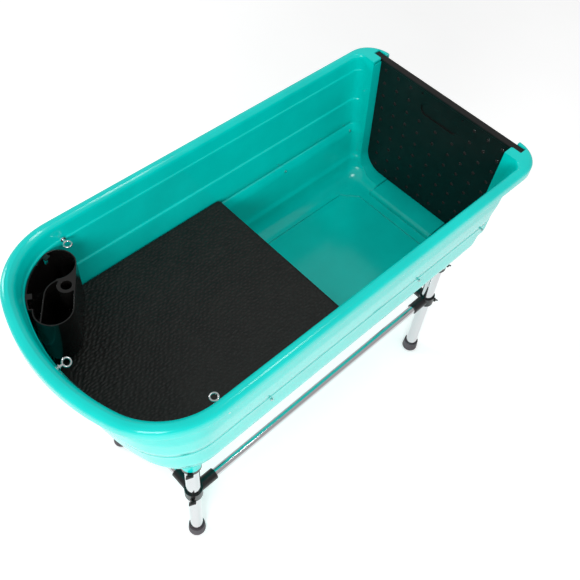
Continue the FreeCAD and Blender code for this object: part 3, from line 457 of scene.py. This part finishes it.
def gate_section(margin, top):
    """Ring (points, 2) of Y and Z round the U-shaped gate opening, widened by a margin: straight
    sides that draw in towards the bottom, and a quarter circle at each lower corner."""
    shoulder, full_height, bottom, corner = 585.0, 900.0, SILL_TOP - margin, 62.0 + margin
    half_top, half_low = 222.0 + margin, 209.0 + margin
    slope = (half_top - half_low) / (full_height - shoulder)
    top_y = half_low + slope * (top - shoulder)
    centre_z = bottom + corner
    centre_y = half_low - slope * (shoulder - centre_z) - corner
    turn = np.linspace(math.pi, 1.5 * math.pi, 16)
    left = np.stack([-centre_y + corner * np.cos(turn), centre_z + corner * np.sin(turn)], axis=-1)
    right = left[::-1] * (-1, 1)
    return np.concatenate([[(-top_y, top)], left, right, [(top_y, top)]])


def across_x(name, section, start, end):
    """Solid of a YZ section carried along X."""
    rings = [np.column_stack([np.full(len(section), x), section]) for x in (start, end)]
    return stacked_solid(name, move_mm(rings))


def upright(name, section, low, high):
    """Solid of an XY section carried up along Z."""
    rings = [np.column_stack([section, np.full(len(section), z)]) for z in (low, high)]
    return stacked_solid(name, move_mm(rings))


def circle(x, y, radius, count=48):
    """Points of a circle in plan, counter-clockwise."""
    turn = np.arange(count) * 2 * math.pi / count
    return np.column_stack([x + radius * np.cos(turn), y + radius * np.sin(turn)])


def rectangle(x0, x1, y0, y1):
    """Corners of a rectangle in plan, counter-clockwise."""
    return np.array([(x0, y0), (x1, y0), (x1, y1), (x0, y1)], float)


def sill_solid():
    """Rounded step before the gate: a flat top with a quarter circle towards the floor."""
    start, end, half, base, top, radius = 511.0, 590.0, 115.0, 498.0, SILL_TOP, 15.0
    turn = np.linspace(math.pi, math.pi / 2, 10)
    section = np.concatenate([[(end, base), (start, base)],
                              np.column_stack([start + radius + radius * np.cos(turn),
                                               top - radius + radius * np.sin(turn)]), [(end, top)]])
    rings = [np.column_stack([section[:, 0], np.full(len(section), y), section[:, 1]])
             for y in (-half, half)]
    return stacked_solid("sill", move_mm(rings))


def recess_section():
    """Plan of the floor's shallow standing area: a rectangle with its corners cut off."""
    start, end, half, cut_off = -455.0, 483.0, 174.0, 42.0
    return np.array([(start + cut_off, -half), (end - cut_off, -half), (end, -half + cut_off),
                     (end, half - cut_off), (end - cut_off, half), (start + cut_off, half),
                     (start, half - cut_off), (start, -half + cut_off)])


class BATHTUB_OT_tub(bpy.types.Operator):
    """Builds the moulded tub from its outside form, less the space inside and the gate's slot"""
    bl_idname = "bathtub.tub"
    bl_label = "Tub"

    def execute(self, context):
        sizes = context.scene.bathtub_tub
        slot, rim = sizes.gate_slot / MM, sizes.rim_height / MM
        # the gate's housing, the groove that guides it, and the flange's seat between two tabs
        housing_margin, groove_margin, groove = 19, 10, 10
        tab_end, seat, housing_end = 225.0, 892.6, 611.0
        seat_start, seat_end, seat_half = 586.1, 607.4, 250.4
        channel_start, channel_half, channel_low, channel_high = 501, 118, 500, 620
        boss_radius, socket_radius, drain_radius = 26.5, 19.05, 22
        floor_low, floor_high = 497, 502  # a cut for the recess, 3 mm into the floor
        clear = 930  # above the rim
        legs = [leg_middle(corner) for corner in CORNERS]
        drain_x = (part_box("drain_outlet")[0].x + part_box("drain_outlet")[1].x) / 2 / MM
        tub = outer_form()
        combine(tub, [across_x("housing", gate_section(housing_margin, seat), 516, housing_end)]
                + [upright("boss", circle(x, y, boss_radius), 458, 533) for x, y in legs], "UNION")
        combine(tub, [inner_space(), upright("recess", recess_section(), floor_low, floor_high),
                      upright("channel", rectangle(channel_start, slot, -channel_half, channel_half),
                              channel_low, channel_high)], "DIFFERENCE")
        combine(tub, [sill_solid()], "UNION")
        combine(tub, [across_x("opening", gate_section(0, rim + 5), 544, 640),
                      across_x("slot", gate_section(groove_margin, rim + 5), slot, slot + groove),
                      upright("tabs", rectangle(housing_end, 680, -tab_end, tab_end), 860, 920),
                      upright("seat", rectangle(seat_start, seat_end, -seat_half, seat_half),
                              seat, clear),
                      upright("over", rectangle(slot - 4, 624, -tab_end, tab_end), seat, clear),
                      upright("drain", circle(drain_x, 0, drain_radius), 480, 520)]
                + [upright("socket", circle(x, y, socket_radius), 450, 490) for x, y in legs],
                "DIFFERENCE")
        tub.data.name = "moulded_tub"
        tub.name = "moulded_tub"
        soften(tub)
        paint(tub, finish_named("tub"))
        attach(tub, "tub")
        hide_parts("tub_shell")
        return {"FINISHED"}


# ---------------------------------------------------------------- carried-over nodes
CORNERS = ("front_left", "front_right", "rear_left", "rear_right")


def leg_middle(corner):
    """Plan centre of a leg, in millimetres."""
    low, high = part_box("upper_leg_" + corner)
    return (low.x + high.x) / 2 / MM, (low.y + high.y) / 2 / MM


class BATHTUB_OT_gate(bpy.types.Operator):
    """Finishes the perforated gate"""
    bl_idname = "bathtub.gate"
    bl_label = "Gate"

    def execute(self, context):
        paint("gate_panel", finish_named("gate"))
        return {"FINISHED"}


def dashes(x, y):
    """Height, from 0 to 1, of a field of raised dashes at points in plan, in millimetres.

    Each dash is an elliptical dome on a staggered lattice, jittered and turned a little by a seeded
    draw; a point's height is that of the highest dome over it.
    """
    pitch = np.array([12.5, 7.2])  # of the lattice, along X and Y
    draw_rows, draw_columns = 160, 128
    jitter, swing = 0.5, 0.9  # share of a cell, and radians
    shortest, longer, half_width, crown = 4.6, 1.6, 2.9, 0.7
    place = np.stack([x, y], axis=-1) / pitch
    row = np.floor(place[..., 1])
    draw = np.random.default_rng(11).random((draw_rows, draw_columns, 4))
    height = np.zeros(np.shape(x))
    for row_step in (-1, 0, 1):
        cell_row = row + row_step
        shift = 0.5 * (cell_row % 2)
        column = np.floor(place[..., 0] - shift)
        for column_step in (-1, 0, 1):
            cell_column = column + column_step
            drawn = draw[cell_column.astype(int) % draw_rows, cell_row.astype(int) % draw_columns]
            middle = np.stack([cell_column + shift, cell_row], axis=-1) + 0.5
            middle = middle + jitter * (drawn[..., :2] - 0.5)
            offset = (place - middle) * pitch
            turn = swing * (drawn[..., 2] - 0.5)
            long = offset[..., 0] * np.cos(turn) + offset[..., 1] * np.sin(turn)
            short = offset[..., 1] * np.cos(turn) - offset[..., 0] * np.sin(turn)
            reach = (long / (shortest + longer * drawn[..., 3])) ** 2 + (short / half_width) ** 2
            height = np.maximum(height, np.clip(1 - reach, 0, 1) ** crown)
    return height


def embossed_top():
    """Closed sheet on the platform's top whose upper face carries the raised dashes.

    A grid spans the plate's outline, read from its corners at the top: at each X it runs between
    the outline's two sides, and it falls to the plate along the border.
    """
    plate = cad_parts["platform_plate"].data
    corners = np.empty(len(plate.vertices) * 3)
    plate.vertices.foreach_get("co", corners)
    corners = corners.reshape(-1, 3) / MM
    top = corners[:, 2].max()
    edge = corners[(corners[:, 2] > top - 0.01) & (corners[:, 1] > 0)]
    edge = edge[np.argsort(edge[:, 0])]
    rows, columns, inset, end_inset = 240, 290, 1.5, 3
    relief, fade, gap, sunk = 1.7, 3, 0.05, 0.5
    x = np.linspace(edge[0, 0] + inset + end_inset, edge[-1, 0] - inset, rows)
    half = np.interp(x, edge[:, 0], edge[:, 1]) - inset
    share = np.linspace(-1, 1, columns)
    place_x = np.broadcast_to(x[:, None], (rows, columns))
    place_y = half[:, None] * share
    border = np.minimum.reduce([place_x - x[0], x[-1] - place_x, half[:, None] - np.abs(place_y)])
    rise = gap + relief * dashes(place_x, place_y) * np.clip(border / fade, 0, 1)
    grid = np.stack([place_x, place_y, top + rise], axis=-1).reshape(-1, 3)
    row, column = np.meshgrid(np.arange(rows - 1), np.arange(columns - 1), indexing="ij")
    first = (row * columns + column).reshape(-1)
    faces = np.stack([first, first + columns, first + columns + 1, first + 1], axis=-1).tolist()
    index = np.arange(rows * columns).reshape(rows, columns)
    rim = np.concatenate([index[0, :-1], index[:-1, -1], index[-1, :0:-1], index[:0:-1, 0]])
    under = grid[rim] * (1, 1, 0) + (0, 0, top - sunk)
    low = rows * columns + np.arange(len(rim))
    faces += np.stack([rim, np.roll(rim, -1), np.roll(low, -1), low], axis=-1).tolist()
    faces.append(low.tolist())
    emboss = mesh_object("platform_emboss", move_mm(np.concatenate([grid, under])).tolist(), faces)
    face_outwards(emboss)
    emboss.data.shade_smooth()
    return emboss


class BATHTUB_OT_platform(bpy.types.Operator):
    """Finishes the standing platform"""
    bl_idname = "bathtub.platform"
    bl_label = "Platform"

    def execute(self, context):
        paint("platform_plate", finish_named("platform"))
        emboss = embossed_top()
        paint(emboss, finish_named("platform"))
        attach(emboss, "platform")
        return {"FINISHED"}


class BATHTUB_OT_caddy(bpy.types.Operator):
    """Finishes the bottle caddy"""
    bl_idname = "bathtub.caddy"
    bl_label = "Caddy"

    def execute(self, context):
        paint("bottle_caddy", finish_named("caddy"))
        return {"FINISHED"}


class BATHTUB_OT_frame(bpy.types.Operator):
    """Finishes the legs, rails, connectors, wing screws and feet"""
    bl_idname = "bathtub.frame"
    bl_label = "Leg frame"

    def execute(self, context):
        for corner in CORNERS:
            for node, finish in (("upper_leg_", "chrome"), ("lower_leg_", "chrome"), ("foot_", "foot"),
                                 ("leg_socket_ring_", "fitting"), ("corner_connector_", "fitting"),
                                 ("socket_screw_", "fitting"), ("leg_lock_screw_", "fitting")):
                paint(node + corner, finish_named(finish))
        for rail in ("long_rail_front", "long_rail_rear", "cross_rail_left", "cross_rail_right"):
            paint(rail, finish_named("chrome"))
        return {"FINISHED"}


class BATHTUB_OT_hardware(bpy.types.Operator):
    """Finishes the ring bolts, wall screws and their washers and nuts"""
    bl_idname = "bathtub.hardware"
    bl_label = "Hardware"

    def execute(self, context):
        for node in ("restraint_eye_rear", "restraint_eye_front", "restraint_eye_end", "eye_washers",
                     "eye_nuts", "wall_screws", "wall_screw_nuts"):
            paint(node, finish_named("zinc"))
        return {"FINISHED"}


class BATHTUB_OT_drain(bpy.types.Operator):
    """Finishes the drain fitting, its gasket, lock nut and strainer"""
    bl_idname = "bathtub.drain"
    bl_label = "Drain"

    def execute(self, context):
        for node, finish in (("drain_outlet", "fitting"), ("drain_lock_nut", "fitting"),
                             ("drain_gasket", "gasket"), ("drain_strainer", "strainer")):
            paint(node, finish_named(finish))
        return {"FINISHED"}


# ---------------------------------------------------------------- stage
def area_light(name, place, aim, size, power):
    """A square soft light at a place that faces a point."""
    data = bpy.data.lights.new(name, "AREA")
    data.size, data.energy = size, power
    light = bpy.data.objects.new(name, data)
    light.location = place
    light.rotation_euler = (Vector(aim) - Vector(place)).to_track_quat("-Z", "Y").to_euler()
    bpy.context.scene.collection.objects.link(light)


class BATHTUB_OT_stage(bpy.types.Operator):
    """Sets the pale floor, the soft studio light and the camera"""
    bl_idname = "bathtub.stage"
    bl_label = "Stage"

    def execute(self, context):
        settings = context.scene.bathtub_stage
        reach = 8
        corners = [(-reach, -reach, 0), (reach, -reach, 0), (reach, reach, 0), (-reach, reach, 0)]
        floor = mesh_object("floor", corners, [(0, 1, 2, 3)])
        material, tree, shader = new_material("white_paper_sweep", {
            "Roughness": 0.9, "Specular IOR Level": 0.0, "Emission Color": (1, 1, 1, 1),
            "Emission Strength": 0.3})
        tint = add_node(tree, "ShaderNodeTexNoise", {"Scale": 3.0}, {"Vector": object_place(tree)})
        shade = add_node(tree, "ShaderNodeMixRGB", {"Color1": linear(settings.floor),
                                                    "Color2": linear("#FBFBFB")},
                         {"Fac": tint.outputs["Fac"]})
        tree.links.new(shade.outputs["Color"], shader.inputs["Base Color"])
        paint(floor, material)

        world = bpy.data.worlds.new("studio")
        world.use_nodes = True
        world.node_tree.nodes["Background"].inputs["Color"].default_value = (1, 1, 1, 1)
        world.node_tree.nodes["Background"].inputs["Strength"].default_value = 0.52
        context.scene.world = world
        middle = (0, 0, 0.7)
        for name, place, size, power in (("key", (-3.0, -2.3, 2.4), 1.4, 80),
                                         ("top", (0.55, -0.6, 2.9), 0.4, 9),
                                         ("rim", (-1.1, 2.6, 2.2), 0.6, 26)):
            area_light(name, place, middle, size, power)
        context.scene.view_settings.view_transform = "Standard"

        azimuth, elevation, roll = settings.azimuth, settings.elevation, settings.roll
        back = Vector((math.sin(azimuth) * math.cos(elevation),
                       -math.cos(azimuth) * math.cos(elevation), math.sin(elevation)))
        side = (-back).cross(Vector((0, 0, 1))).normalized()
        above = side.cross(-back)
        right = math.cos(roll) * side + math.sin(roll) * above
        up = math.cos(roll) * above - math.sin(roll) * side
        camera = bpy.data.objects.new("camera", bpy.data.cameras.new("camera"))
        turned = Matrix((right, up, back)).transposed().to_4x4()
        camera.matrix_world = Matrix.Translation(settings.place) @ turned
        camera.data.lens = settings.lens
        camera.data.shift_x, camera.data.shift_y = -0.0239, -0.0319
        camera.data.clip_end = 30
        context.scene.collection.objects.link(camera)
        context.scene.camera = camera
        return {"FINISHED"}


# ---------------------------------------------------------------- panel and registration
OPERATORS = (BATHTUB_OT_stage, BATHTUB_OT_tub, BATHTUB_OT_gate, BATHTUB_OT_platform, BATHTUB_OT_caddy,
             BATHTUB_OT_frame, BATHTUB_OT_hardware, BATHTUB_OT_drain)


class BATHTUB_PT_panel(bpy.types.Panel):
    """Lists the bathtub's sizes and pieces"""
    bl_idname = "BATHTUB_PT_panel"
    bl_label = "Bathtub"
    bl_space_type = "VIEW_3D"
    bl_region_type = "UI"
    bl_category = "Bathtub"

    def draw(self, context):
        for settings in (context.scene.bathtub_tub, context.scene.bathtub_stage):
            box = self.layout.box()
            for name in settings.bl_rna.properties.keys():
                if name not in ("rna_type", "name"):
                    box.prop(settings, name)
        for operator in OPERATORS:
            self.layout.operator(operator.bl_idname)


CLASSES = (TubSizes, StageSettings, *OPERATORS, BATHTUB_PT_panel)


def register():
    """Registers the classes and hangs the settings on the scene."""
    for item in CLASSES:
        bpy.utils.register_class(item)
    bpy.types.Scene.bathtub_tub = PointerProperty(type=TubSizes)
    bpy.types.Scene.bathtub_stage = PointerProperty(type=StageSettings)


def unregister():
    """Takes the settings off the scene and unregisters the classes."""
    del bpy.types.Scene.bathtub_stage
    del bpy.types.Scene.bathtub_tub
    for item in reversed(CLASSES):
        bpy.utils.unregister_class(item)


def main():
    """Registers the add-on and builds every group in order."""
    register()
    for operator in OPERATORS:
        getattr(bpy.ops.bathtub, operator.bl_idname.split(".")[1])()


if __name__ == "__main__":
    main()
